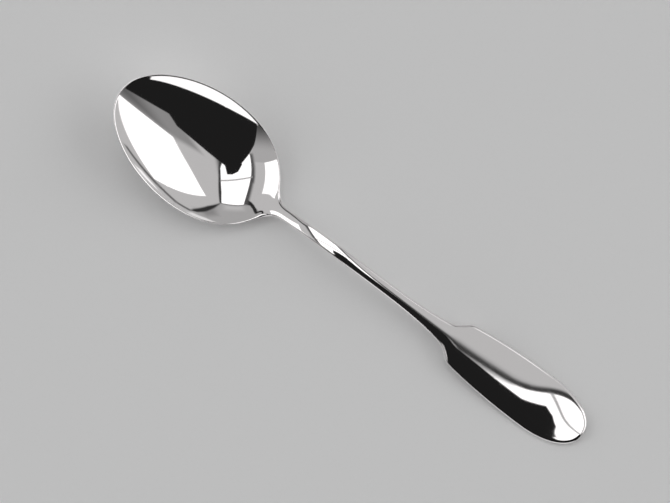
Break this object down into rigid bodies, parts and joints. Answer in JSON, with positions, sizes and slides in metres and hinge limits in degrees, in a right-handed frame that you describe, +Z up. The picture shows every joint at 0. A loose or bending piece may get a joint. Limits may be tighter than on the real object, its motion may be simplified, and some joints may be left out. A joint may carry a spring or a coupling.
{
  "type": "tablespoon",
  "caption": "Plain polished silver tablespoon with a pointed-oval bowl, slim arched stem, sloped shoulders and a round-ended fiddle handle, for serving and eating.",
  "frame": {"origin": "on the table, under the middle of the overall length and width", "axes": "+X from the tip of the bowl to the end of the handle, +Y across the bowl, +Z up out of the bowl"},
  "size_m": [0.21, 0.045, 0.0211],
  "materials": {
    "silver": "mirror polished, with fine handling scratches"
  },
  "bodies": {
    "root": {"bowl": "silver", "drop": "silver", "stem": "silver", "fiddle_end": "silver"}
  },
  "joints": []
}
